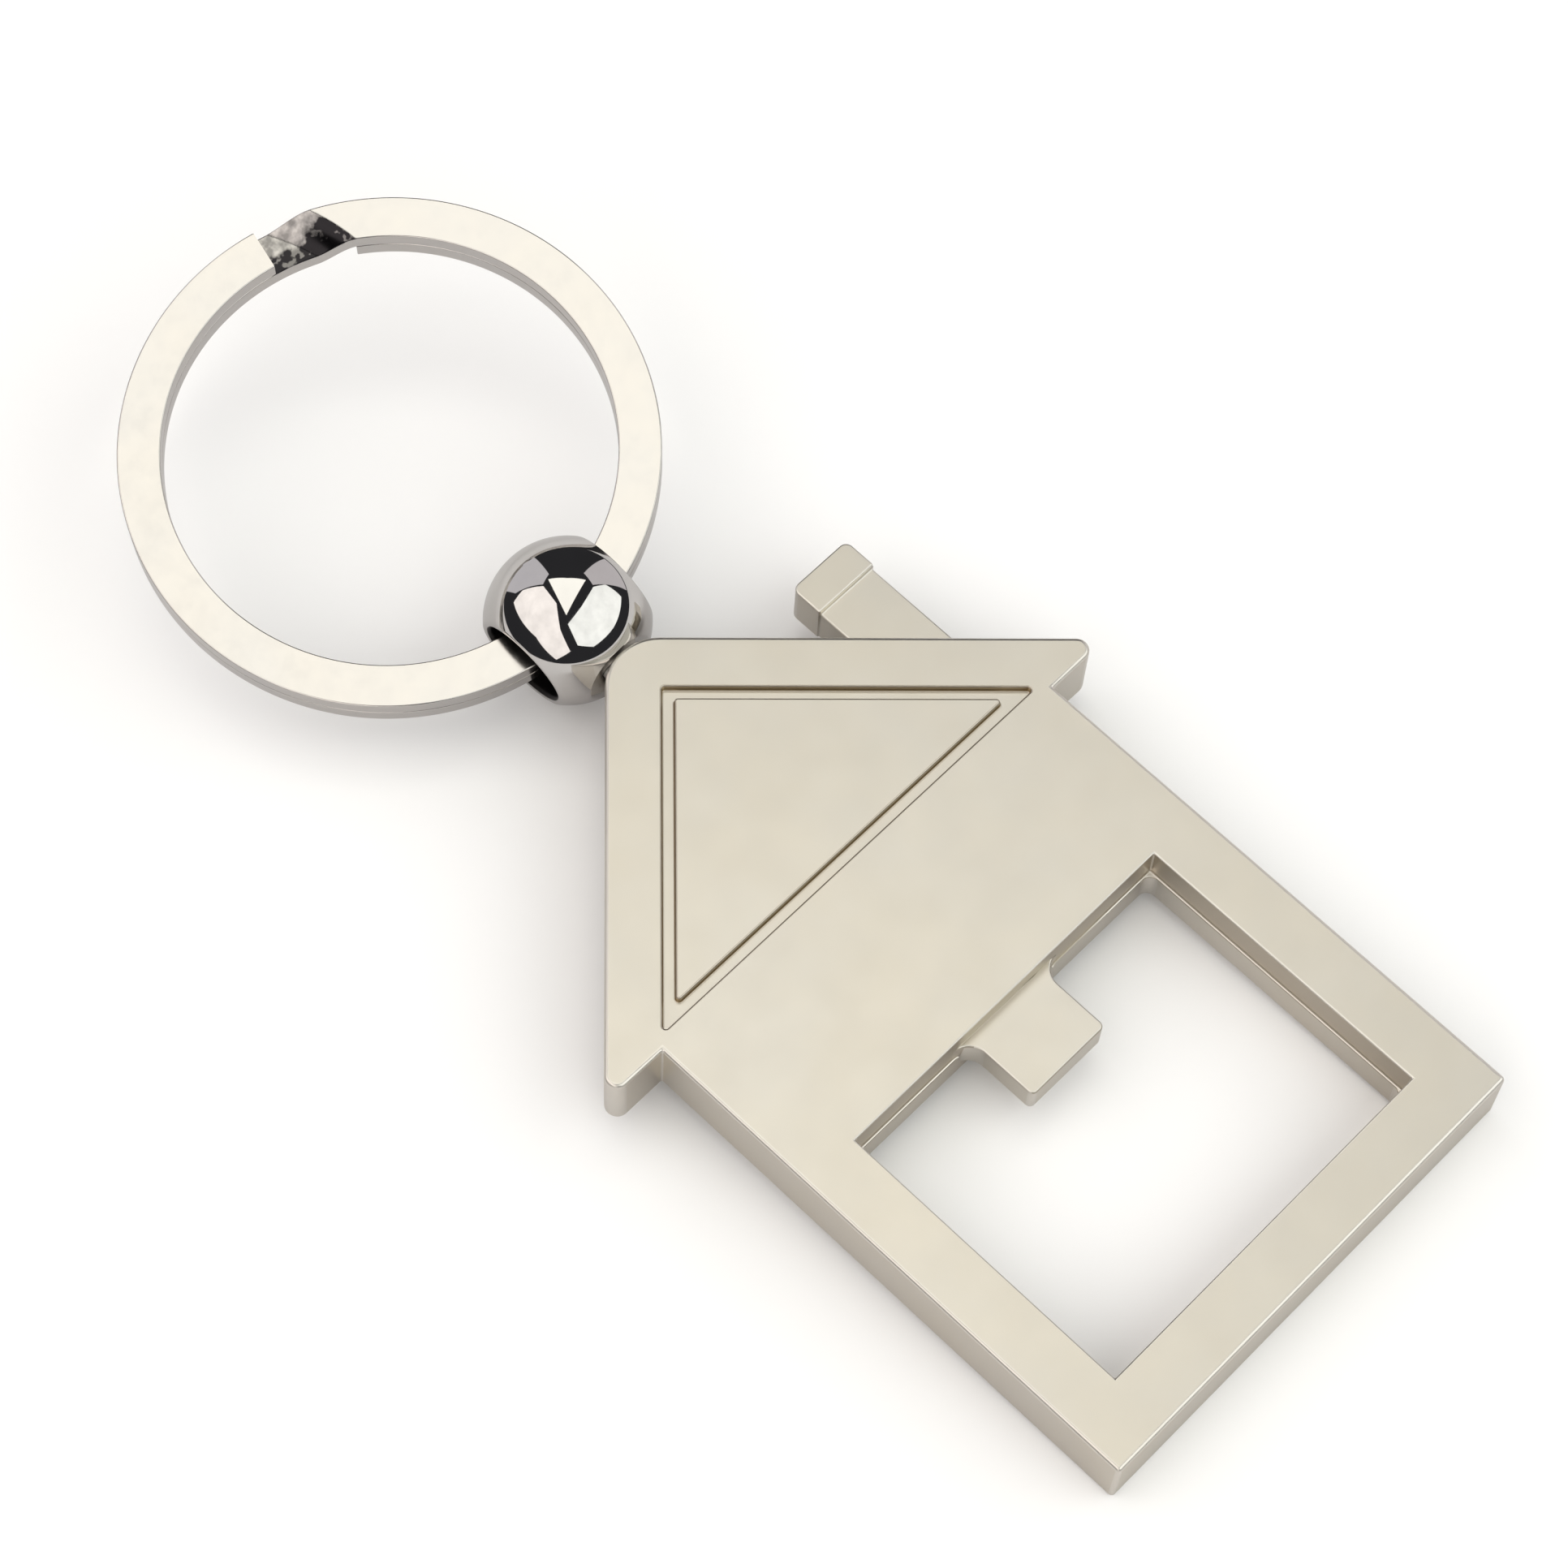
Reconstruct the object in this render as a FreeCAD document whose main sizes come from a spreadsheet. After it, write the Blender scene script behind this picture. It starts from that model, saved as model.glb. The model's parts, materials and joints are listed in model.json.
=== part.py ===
import FreeCAD, Part
import math
import os

import Sketcher
from FreeCAD import Placement, Rotation, Vector

# Keychain bottle opener: a house-shaped zinc casting with an opener tooth in its window, a
# chrome ball that swivels on a pin in the gable, and a two-turn split ring through the ball.
#
# The casting is drawn lying on XY: x across the house, y from its base to the gable, z from
# its back face to its front face. The pin and the ball are drawn about the ball's centre, and
# the ring about its own. Every piece is then set down as the object rests on a table: on the
# back edge of the base and on the ball, which is thicker than the casting.

SIZES = {
    # outline of the casting
    "plate_thick": 4.3,
    "wall_half": 15.0,
    "wall_high": 32.2,
    "eave_half": 19.3,
    "gable_top": 51.5,
    "gable_round": 3.0,
    "eave_round": 0.7,
    "rim_round": 0.25,
    # window: its front half is a sharp rectangle, its back half a little smaller and rounded
    "window_half": 11.5,
    "window_low": 3.5,
    "window_top": 21.7,
    "window_depth": 2.15,
    "window_step": 0.12,
    "window_round": 0.6,
    # opener tooth, a web at half thickness that stands out from the window's top edge
    "tooth_half": 2.8,
    "tooth_tip": 17.1,
    "tooth_root": 1.2,
    "tooth_sunk": 0.6,
    "tooth_low": 1.15,
    "tooth_thick": 1.95,
    "tooth_round": 0.35,
    # triangle engraved in the gable
    "groove_half": 14.3,
    "groove_low": 32.9,
    "groove_top": 47.2,
    "island_half": 12.6,
    "island_low": 33.6,
    "island_top": 46.2,
    "groove_depth": 0.45,
    "groove_round": 0.18,
    # chimney on the right-hand slope, flush with the back face
    "shaft_left": 9.9,
    "shaft_right": 14.0,
    "shaft_low": 34.0,
    "shaft_thick": 2.6,
    "cap_overhang": 0.1,
    "cap_low": 44.75,
    "cap_top": 46.85,
    "cap_thick": 2.95,
    "cap_round": 0.5,
    # swivel pin, measured from the ball's centre
    "pin_radius": 1.0,
    "pin_reach": 9.2,
    "pin_air": 0.3,
    "pin_clearance": 0.05,
    "head_radius": 1.5,
    "head_thick": 0.8,
    "head_play": 0.08,
    # ball
    "ball_along": 54.4,
    "ball_radius": 4.65,
    "ball_hole": 2.6,
    "ball_lip": 0.25,
    "ball_flat": 4.05,
    "seat_radius": 1.6,
    "seat_deep": 2.75,
    # split ring, two turns of flat wire
    "ring_outer": 15.0,
    "ring_inner": 12.6,
    "coil_thick": 1.05,
    "coil_gap": 0.1,
    "coil_start": 76.0,
    "coil_sweep": 338.3,
    # how far the ball is turned on its pin, and the ring swung in the ball, at rest
    "ball_turn": -6.7,
    "ring_swing": 5.8,
}

RAMP_SECTIONS = 5
TOUCH = 0.001

os.makedirs("parts", exist_ok=True)
doc = FreeCAD.newDocument("bottle_opener")


def make_sheet():
    sheet = doc.addObject("Spreadsheet::Sheet", "sizes")
    for row, (alias, value) in enumerate(SIZES.items(), start=1):
        sheet.set(f"A{row}", alias)
        sheet.set(f"B{row}", str(value))
        sheet.setAlias(f"B{row}", alias)
    doc.recompute()
    return sheet


# ---- helpers: a formula is written with cell names in angle brackets --------------------------

def full(formula):
    return formula.replace("<", "sizes.").replace(">", "")


def value(formula):
    """What a formula of cells comes to now."""
    return float(sheet.evalExpression(full(formula)))


def bind(feature, prop, formula):
    feature.setExpression(prop, full(formula))


def new_body(label):
    body = doc.addObject("PartDesign::Body", label)
    body.Label = label
    return body


def new_sketch(body, name, role, lift=None, turn=0.0):
    """A sketch on one of the body's own planes, lifted off it or turned about its upright axis."""
    sketch = body.newObject("Sketcher::SketchObject", name)
    plane = next(feature for feature in body.Origin.OriginFeatures if feature.Role == role)
    sketch.AttachmentSupport = [(plane, "")]
    sketch.MapMode = "FlatFace"
    sketch.AttachmentOffset = Placement(Vector(), Rotation(Vector(0, 1, 0), turn))
    if lift:
        bind(sketch, "AttachmentOffset.Base.z", lift)
    return sketch


def fix(sketch, kind, index, end, formula):
    """Fixes one coordinate of a sketch point. An empty formula puts the point on the axis, and
    one that starts with a minus puts it on the negative side."""
    if not formula:
        axis = -2 if kind == "DistanceX" else -1
        sketch.addConstraint(Sketcher.Constraint("PointOnObject", index, end, axis))
        return
    points = (index, end, -1, 1) if formula.startswith("-") else (-1, 1, index, end)
    number = sketch.addConstraint(Sketcher.Constraint(kind, *points, abs(value(formula))))
    bind(sketch, f"Constraints[{number}]", formula.lstrip("-"))


def fix_radius(sketch, index, formula):
    number = sketch.addConstraint(Sketcher.Constraint("Radius", index, value(formula)))
    bind(sketch, f"Constraints[{number}]", formula)


def join(sketch, first, first_end, second, second_end):
    sketch.addConstraint(Sketcher.Constraint("Coincident", first, first_end, second, second_end))


def draw_outline(sketch, corners):
    """A closed outline of straight lines; each corner is two formulas."""
    points = [Vector(value(x or "0"), value(y or "0"), 0) for x, y in corners]
    first = sketch.GeometryCount
    for start, end in zip(points, points[1:] + points[:1]):
        sketch.addGeometry(Part.LineSegment(start, end), False)
    for number, (x, y) in enumerate(corners):
        after = (number + 1) % len(corners)
        join(sketch, first + number, 2, first + after, 1)
        fix(sketch, "DistanceX", first + number, 1, x)
        fix(sketch, "DistanceY", first + number, 1, y)


def draw_rectangle(sketch, left, right, low, top):
    draw_outline(sketch, [(left, low), (right, low), (right, top), (left, top)])


def draw_circle(sketch, radius, height=""):
    """A circle on the sketch's upright axis."""
    sketch.addGeometry(Part.Circle(Vector(0, value(height or "0"), 0), Vector(0, 0, 1), 1), False)
    fix(sketch, "DistanceX", 0, 3, "")
    fix(sketch, "DistanceY", 0, 3, height)
    fix_radius(sketch, 0, radius)


def pad(body, name, sketch, length):
    feature = body.newObject("PartDesign::Pad", name)
    feature.Profile = sketch
    bind(feature, "Length", length)
    doc.recompute()


def pocket(body, name, sketch, length, along_normal=False):
    """Cuts a sketch's shape out of the body, against the sketch's normal unless along_normal."""
    before = body.Shape.Volume
    feature = body.newObject("PartDesign::Pocket", name)
    feature.Profile = sketch
    feature.Reversed = along_normal
    bind(feature, "Length", length)
    doc.recompute()
    if body.Shape.Volume > before - TOUCH:
        raise ValueError(f"{name} cuts nothing")


def revolve(body, name, sketch, axis, angle):
    feature = body.newObject("PartDesign::Revolution", name)
    feature.Profile = sketch
    feature.ReferenceAxis = (sketch, [axis])
    bind(feature, "Angle", angle)
    doc.recompute()


def round_edges(body, name, radius, test):
    """Rounds every edge that passes the test."""
    base = body.Tip
    names = [f"Edge{number}" for number, edge in enumerate(base.Shape.Edges, start=1) if test(edge)]
    if not names:
        raise ValueError(f"{name} finds no edge")
    feature = body.newObject("PartDesign::Fillet", name)
    feature.Base = (base, names)
    bind(feature, "Radius", radius)
    doc.recompute()


def near(first, second):
    return abs(first - second) < TOUCH


def upright_at(*places):
    """A test for edges along z that stand on one of these places; each is two formulas."""
    spots = [(value(x), value(y)) for x, y in places]

    def test(edge):
        box = edge.BoundBox
        if not near(box.XMin, box.XMax) or not near(box.YMin, box.YMax):
            return False
        return any(near(box.XMin, x) and near(box.YMin, y) for x, y in spots)

    return test


def both_sides(x, y):
    """The same place on the right and on the left."""
    return [(x, y), (f"-({x})", y)]


# ---- house_plate: the casting -----------------------------------------------------------------

def cast_outline(body):
    outline = new_sketch(body, "outline", "XY_Plane")
    draw_outline(outline, [
        ("-<wall_half>", ""),
        ("<wall_half>", ""),
        ("<wall_half>", "<wall_high>"),
        ("<eave_half>", "<wall_high>"),
        ("", "<gable_top>"),
        ("-<eave_half>", "<wall_high>"),
        ("-<wall_half>", "<wall_high>"),
    ])
    pad(body, "slab", outline, "<plate_thick>")
    round_edges(body, "gable_rounding", "<gable_round>", upright_at(("0", "<gable_top>")))
    round_edges(body, "eave_rounding", "<eave_round>",
                upright_at(*both_sides("<eave_half>", "<wall_high>")))
    thick = value("<plate_thick>")
    foot = upright_at(*both_sides("<wall_half>", "0"))

    def on_a_face(edge):
        box = edge.BoundBox
        return near(box.ZMin, box.ZMax) and (near(box.ZMin, 0) or near(box.ZMin, thick))

    round_edges(body, "rim_rounding", "<rim_round>", lambda edge: on_a_face(edge) or foot(edge))


def cast_chimney(body):
    shaft = new_sketch(body, "shaft_outline", "XY_Plane")
    draw_rectangle(shaft, "<shaft_left>", "<shaft_right>", "<shaft_low>", "<cap_top>-<cap_round>")
    pad(body, "chimney_shaft", shaft, "<shaft_thick>")
    left, right = "<shaft_left>-<cap_overhang>", "<shaft_right>+<cap_overhang>"
    cap = new_sketch(body, "cap_outline", "XY_Plane")
    draw_rectangle(cap, left, right, "<cap_low>", "<cap_top>")
    pad(body, "chimney_cap", cap, "<cap_thick>")
    round_edges(body, "cap_rounding", "<cap_round>",
                upright_at((left, "<cap_top>"), (right, "<cap_top>")))


def cut_window(body):
    """The two halves of the window, one from each face, with a small step between them."""
    front = new_sketch(body, "window_front", "XY_Plane", lift="<plate_thick>")
    draw_rectangle(front, "-<window_half>", "<window_half>", "<window_low>", "<window_top>")
    pocket(body, "window_front_half", front, "<window_depth>")
    half = "<window_half>-<window_step>"
    low, top = "<window_low>+<window_step>", "<window_top>-<window_step>"
    back = new_sketch(body, "window_back", "XY_Plane")
    draw_rectangle(back, f"-({half})", half, low, top)
    pocket(body, "window_back_half", back, "<plate_thick>-<window_depth>", along_normal=True)
    round_edges(body, "window_corners", "<window_round>",
                upright_at(*both_sides(half, low), *both_sides(half, top)))


def cast_tooth(body):
    """The tooth, then the two concave roots that blend it into the window's top edge."""
    outline = new_sketch(body, "tooth_outline", "XY_Plane", lift="<tooth_low>")
    draw_rectangle(outline, "-<tooth_half>", "<tooth_half>",
                   "<tooth_tip>", "<window_top>+<tooth_sunk>")
    pad(body, "tooth", outline, "<tooth_thick>")
    round_edges(body, "tooth_corners", "<tooth_round>",
                upright_at(*both_sides("<tooth_half>", "<tooth_tip>")))
    for sign, name in (("", "right"), ("-", "left")):
        root = new_sketch(body, f"{name}_root_outline", "XY_Plane", lift="<tooth_low>")
        draw_root(root, sign)
        pad(body, f"{name}_root", root, "<tooth_thick>")


def draw_root(sketch, sign):
    """A corner piece between the tooth's side and the window's edge, with a hollow arc."""
    inside = f"{sign}(<tooth_half>-<tooth_root>)"
    side = f"{sign}<tooth_half>"
    outside = f"{sign}(<tooth_half>+<tooth_root>)"
    low, sunk = "<window_top>-<tooth_root>", "<window_top>+<tooth_sunk>"
    corners = [(outside, "<window_top>"), (outside, sunk), (inside, sunk), (inside, low), (side, low)]
    points = [Vector(value(x), value(y), 0) for x, y in corners]
    for start, end in zip(points, points[1:]):
        sketch.addGeometry(Part.LineSegment(start, end), False)
    for number in range(3):
        join(sketch, number, 2, number + 1, 1)
    for number, (x, y) in enumerate(corners[:4]):
        fix(sketch, "DistanceX", number, 1, x)
        fix(sketch, "DistanceY", number, 1, y)
    fix(sketch, "DistanceX", 3, 2, side)
    fix(sketch, "DistanceY", 3, 2, low)
    hollow = Part.Circle(Vector(points[0].x, points[4].y, 0), Vector(0, 0, 1), value("<tooth_root>"))
    quarter = (90, 180) if not sign else (0, 90)
    arc = sketch.addGeometry(Part.ArcOfCircle(hollow, *map(math.radians, quarter)), False)
    at_wall, at_side = (1, 2) if not sign else (2, 1)
    join(sketch, arc, at_wall, 0, 1)
    join(sketch, arc, at_side, 3, 2)
    fix_radius(sketch, arc, "<tooth_root>")


def engrave_gable(body):
    groove = new_sketch(body, "groove_outline", "XY_Plane", lift="<plate_thick>")
    for part in ("groove", "island"):
        draw_outline(groove, [(f"-<{part}_half>", f"<{part}_low>"),
                              (f"<{part}_half>", f"<{part}_low>"),
                              ("", f"<{part}_top>")])
    pocket(body, "gable_groove", groove, "<groove_depth>")
    round_edges(body, "groove_corners", "<groove_round>",
                upright_at(*both_sides("<groove_half>", "<groove_low>"),
                           *both_sides("<island_half>", "<island_low>"),
                           ("0", "<groove_top>"), ("0", "<island_top>")))


def bore_for_pin(body):
    """A blind hole down from the gable, at half thickness. Its sketch is at the ball's centre."""
    bore = new_sketch(body, "pin_bore", "XZ_Plane", lift="-<ball_along>")
    draw_circle(bore, "<pin_radius>", height="<plate_thick>/2")
    pocket(body, "pin_hole", bore, "<pin_reach>+<pin_air>", along_normal=True)


def make_house_plate():
    body = new_body("house_plate")
    cast_outline(body)
    cast_chimney(body)
    cut_window(body)
    cast_tooth(body)
    engrave_gable(body)
    bore_for_pin(body)
    return body


# ---- swivel_pin, connector_ball and split_ring ------------------------------------------------

def make_swivel_pin():
    """A headed pin: the head is inside the ball, and the shank's far end is in the gable."""
    body = new_body("swivel_pin")
    profile = new_sketch(body, "pin_profile", "XY_Plane")
    head_low = "-(<seat_deep>-<head_play>)"
    head_top = "-(<seat_deep>-<head_play>-<head_thick>)"
    draw_outline(profile, [
        ("", "-<pin_reach>"),
        ("<pin_radius>", "-<pin_reach>"),
        ("<pin_radius>", head_low),
        ("<head_radius>", head_low),
        ("<head_radius>", head_top),
        ("", head_top),
    ])
    revolve(body, "pin_turned", profile, "V_Axis", "360")
    return body


def make_connector_ball():
    """A ball with a hole along x for the ring, a flat towards the gable and a hole for the pin."""
    body = new_body("connector_ball")
    profile = new_sketch(body, "ball_profile", "XY_Plane")
    radius, hole = value("<ball_radius>"), value("<ball_hole>")
    lip = math.asin(hole / radius)
    sphere = Part.Circle(Vector(), Vector(0, 0, 1), radius)
    profile.addGeometry(Part.ArcOfCircle(sphere, lip, math.pi - lip), False)
    reach = radius * math.cos(lip)
    profile.addGeometry(Part.LineSegment(Vector(-reach, hole, 0), Vector(reach, hole, 0)), False)
    join(profile, 0, 3, -1, 1)
    join(profile, 0, 2, 1, 1)
    join(profile, 0, 1, 1, 2)
    profile.addConstraint(Sketcher.Constraint("Horizontal", 1))
    fix(profile, "DistanceY", 1, 1, "<ball_hole>")
    fix_radius(profile, 0, "<ball_radius>")
    revolve(body, "ball_turned", profile, "H_Axis", "360")
    flat = new_sketch(body, "flat_outline", "XZ_Plane", lift="<ball_flat>")
    draw_circle(flat, "<ball_radius>")
    pocket(body, "flat", flat, "<ball_radius>", along_normal=True)
    for name, radius, deep in (("pin_hole", "<pin_radius>+<pin_clearance>", "<ball_radius>"),
                               ("head_seat", "<seat_radius>", "<seat_deep>")):
        circle = new_sketch(body, f"{name}_outline", "XZ_Plane")
        draw_circle(circle, radius)
        pocket(body, name, circle, deep, along_normal=True)
    rim = value("<ball_radius>") * math.cos(lip)

    def around_the_hole(edge):
        box = edge.BoundBox
        return near(box.XMin, box.XMax) and near(abs(box.XMin), rim)

    round_edges(body, "hole_lips", "<ball_lip>", around_the_hole)
    return body


def make_split_ring():
    """Two turns of flat wire, one above the other, joined by a short ramp between their ends."""
    body = new_body("split_ring")
    lower = new_sketch(body, "lower_section", "XZ_Plane", turn=value("<coil_start>"))
    draw_rectangle(lower, "<ring_inner>", "<ring_outer>",
                   "-(<coil_thick>+<coil_gap>/2)", "-(<coil_gap>/2)")
    revolve(body, "lower_coil", lower, "V_Axis", "<coil_sweep>")
    draw_ramp(body)
    upper = new_sketch(body, "upper_section", "XZ_Plane", turn=value("<coil_start>"))
    draw_rectangle(upper, "<ring_inner>", "<ring_outer>",
                   "<coil_gap>/2", "<coil_thick>+<coil_gap>/2")
    revolve(body, "upper_coil", upper, "V_Axis", "<coil_sweep>")
    return body


def draw_ramp(body):
    """A loft down from the end of the upper coil to the start of the lower coil."""
    sections = []
    for number in range(RAMP_SECTIONS):
        share = number / (RAMP_SECTIONS - 1)
        angle = value("<coil_start>") - (1 - share) * value("360-<coil_sweep>")
        drop = (1 - math.cos(math.pi * share)) / 2
        section = new_sketch(body, f"ramp_section_{number}", "XZ_Plane", turn=angle)
        draw_rectangle(section, "<ring_inner>", "<ring_outer>", "", "<coil_thick>")
        bind(section, "AttachmentOffset.Base.y", f"<coil_gap>/2-{drop}*(<coil_thick>+<coil_gap>)")
        sections.append(section)
    ramp = body.newObject("PartDesign::AdditiveLoft", "ramp")
    ramp.Profile = sections[0]
    ramp.Sections = sections[1:]
    doc.recompute()


# ---- setting the pieces down ------------------------------------------------------------------

def lean():
    """The angle by which the casting leans when its back edge and the ball stand on a table."""
    radius, edge = value("<ball_radius>"), value("<rim_round>")
    along = value("<ball_along>") - edge
    across = value("<plate_thick>/2") - edge
    return math.degrees(math.asin((radius - edge) / math.hypot(along, across))
                        - math.atan2(across, along))


def set_down(house_plate, swivel_pin, connector_ball, split_ring):
    rest = Placement(Vector(), Rotation(Vector(1, 0, 0), lean()))
    ball = Placement(Vector(0, value("<ball_along>"), value("<plate_thick>/2")), Rotation())
    turned = Placement(Vector(), Rotation(Vector(0, 1, 0), value("<ball_turn>")))
    swung = Placement(Vector(), Rotation(Vector(1, 0, 0), value("<ring_swing>")))
    out = Placement(Vector(0, value("(<ring_outer>+<ring_inner>)/2"), 0), Rotation())
    house_plate.Placement = rest
    swivel_pin.Placement = rest * ball
    connector_ball.Placement = rest * ball * turned
    split_ring.Placement = rest * ball * turned * swung * out
    bodies = (house_plate, swivel_pin, connector_ball, split_ring)
    doc.recompute()
    box = Part.Compound([body.Shape for body in bodies]).optimalBoundingBox(False, False)
    middle = Placement(Vector(-box.Center.x, -box.Center.y, -box.ZMin), Rotation())
    for body in bodies:
        body.Placement = middle * body.Placement
    return bodies


def check_document(bodies):
    for feature in doc.Objects:
        if "Invalid" in feature.State or "Error" in feature.State:
            raise ValueError(f"{feature.Label} did not recompute")
    for body in bodies:
        if body.Shape.isNull() or not body.Shape.isValid() or len(body.Shape.Solids) != 1:
            raise ValueError(f"{body.Label} is not one valid solid")


sheet = make_sheet()
pieces = set_down(make_house_plate(), make_swivel_pin(), make_connector_ball(), make_split_ring())
check_document(pieces)
for piece in pieces:
    piece.Shape.exportStep(f"parts/{piece.Label}.step")
    print(piece.Label, "volume", round(piece.Shape.Volume, 2), "mm3")
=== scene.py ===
import json
import math

import bmesh
import bpy
from mathutils import Matrix, Vector, geometry


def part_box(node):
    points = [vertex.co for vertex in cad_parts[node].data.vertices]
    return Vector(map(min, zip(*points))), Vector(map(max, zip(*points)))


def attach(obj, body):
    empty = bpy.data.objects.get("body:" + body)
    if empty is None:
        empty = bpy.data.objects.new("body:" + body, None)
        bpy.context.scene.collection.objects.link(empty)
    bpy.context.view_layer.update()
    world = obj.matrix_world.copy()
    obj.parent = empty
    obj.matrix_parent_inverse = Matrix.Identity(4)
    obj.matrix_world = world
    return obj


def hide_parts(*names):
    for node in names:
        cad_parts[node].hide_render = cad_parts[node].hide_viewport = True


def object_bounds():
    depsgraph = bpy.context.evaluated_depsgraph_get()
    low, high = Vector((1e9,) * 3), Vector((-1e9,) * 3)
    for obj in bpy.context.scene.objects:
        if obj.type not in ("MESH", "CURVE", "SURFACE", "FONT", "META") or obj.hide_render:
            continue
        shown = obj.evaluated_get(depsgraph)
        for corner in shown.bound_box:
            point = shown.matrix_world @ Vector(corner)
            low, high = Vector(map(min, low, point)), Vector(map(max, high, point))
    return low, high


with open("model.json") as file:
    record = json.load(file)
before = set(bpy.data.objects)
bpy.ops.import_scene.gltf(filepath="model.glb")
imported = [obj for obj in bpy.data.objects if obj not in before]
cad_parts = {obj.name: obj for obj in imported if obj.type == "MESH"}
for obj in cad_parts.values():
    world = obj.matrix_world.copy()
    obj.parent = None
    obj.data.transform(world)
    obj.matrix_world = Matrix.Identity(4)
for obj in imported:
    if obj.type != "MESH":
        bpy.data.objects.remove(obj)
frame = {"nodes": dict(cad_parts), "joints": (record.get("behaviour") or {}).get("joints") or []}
CAD_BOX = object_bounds()

# Keychain bottle opener: a satin-nickel casting, a polished ball that swivels on its gable, and
# a two-turn split ring. The casting and the pin are the CAD's own meshes with softened edges.
# The ball and the ring are built here, finer, on the CAD's own axes.

MM = 0.001

# ball, in its own frame: the ring's hole runs along x and the pin along -y
BALL_RADIUS = 4.65 * MM
HOLE_RADIUS = 2.6 * MM
LIP_ROUND = 0.3 * MM
FLAT_AT = 4.05 * MM

# split ring: two turns of flat wire and the ramp that joins them, angles from the ring's own x
RING_OUTER = 15.0 * MM
RING_INNER = 12.6 * MM
WIRE_THICK = 1.085 * MM
WIRE_GAP = 0.03 * MM
WIRE_ROUND = 0.09 * MM
COIL_START = math.radians(76.0)
COIL_END = math.radians(360 + 54.3)
RAMP_TOP = math.radians(360 + 53.6)
RAMP_FOOT = math.radians(360 + 65.0)
BEND_END = math.radians(360 + 76.0)
BEND_FADE = math.radians(1.2)
RAMP_SKEW = math.radians(9.0)
# the ramp's painted dark reflection: how far it reaches across the wire and how it fades
DARK_LIMITS = (0.2, -0.4)
DARK_FADE = 0.4
OUTER_DARK_SHARE = 0.3
ACROSS_STEPS = 24
SKEW_FADE = math.radians(25.0)
END_ROUND = 0.06 * MM

# softened edges, and which faces count as flat
EDGE_SOFT = 0.11 * MM
SHARP = math.radians(40)
SAME_PLANE = math.cos(math.radians(0.4))
SMOOTH_WITHIN = math.cos(math.radians(38))
FLAT_AREA = 3.0 * MM * MM
NARROW = 0.15 * MM
WIDE_FACE = 4.0 * MM * MM
ON_PLANE = 0.002 * MM
STEEP = 0.85

# painted shade on the casting: the engraved line's walls and the upper walls of the window are painted
# darker
GROOVE_DEPTHS = (0.3 * MM, 0.55 * MM)
BELOW_EDGE = 0.9 * EDGE_SOFT
FACING_CENTRE = 0.3
GROOVE_WALL_SHADE = 1.0
GROOVE_ROUND_SHADE = 0.45
WINDOW_SHADE = 0.45
WINDOW_CENTRE = 12.6 * MM
WINDOW_REACH = 12.5 * MM
WINDOW_STEP = 2.3 * MM

NOISE_ROUGH = 0.55


# ---- helpers ----------------------------------------------------------------------------------

def joint(name):
    return next(j for j in frame["joints"] if j["name"] == name)


def mesh_piece(name, points, faces, normals, place, material, body, node):
    """Makes a smooth piece with its own corner normals, to stand for a CAD node."""
    mesh = bpy.data.meshes.new(name)
    mesh.from_pydata([place @ Vector(p) for p in points], [], faces)
    mesh.polygons.foreach_set("use_smooth", [True] * len(mesh.polygons))
    turn = place.to_3x3()
    mesh.normals_split_custom_set([turn @ Vector(n) for n in normals])
    mesh.materials.append(material)
    piece = bpy.data.objects.new(name, mesh)
    bpy.context.scene.collection.objects.link(piece)
    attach(piece, body)
    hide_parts(node)
    return piece


# ---- materials --------------------------------------------------------------------------------

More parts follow.
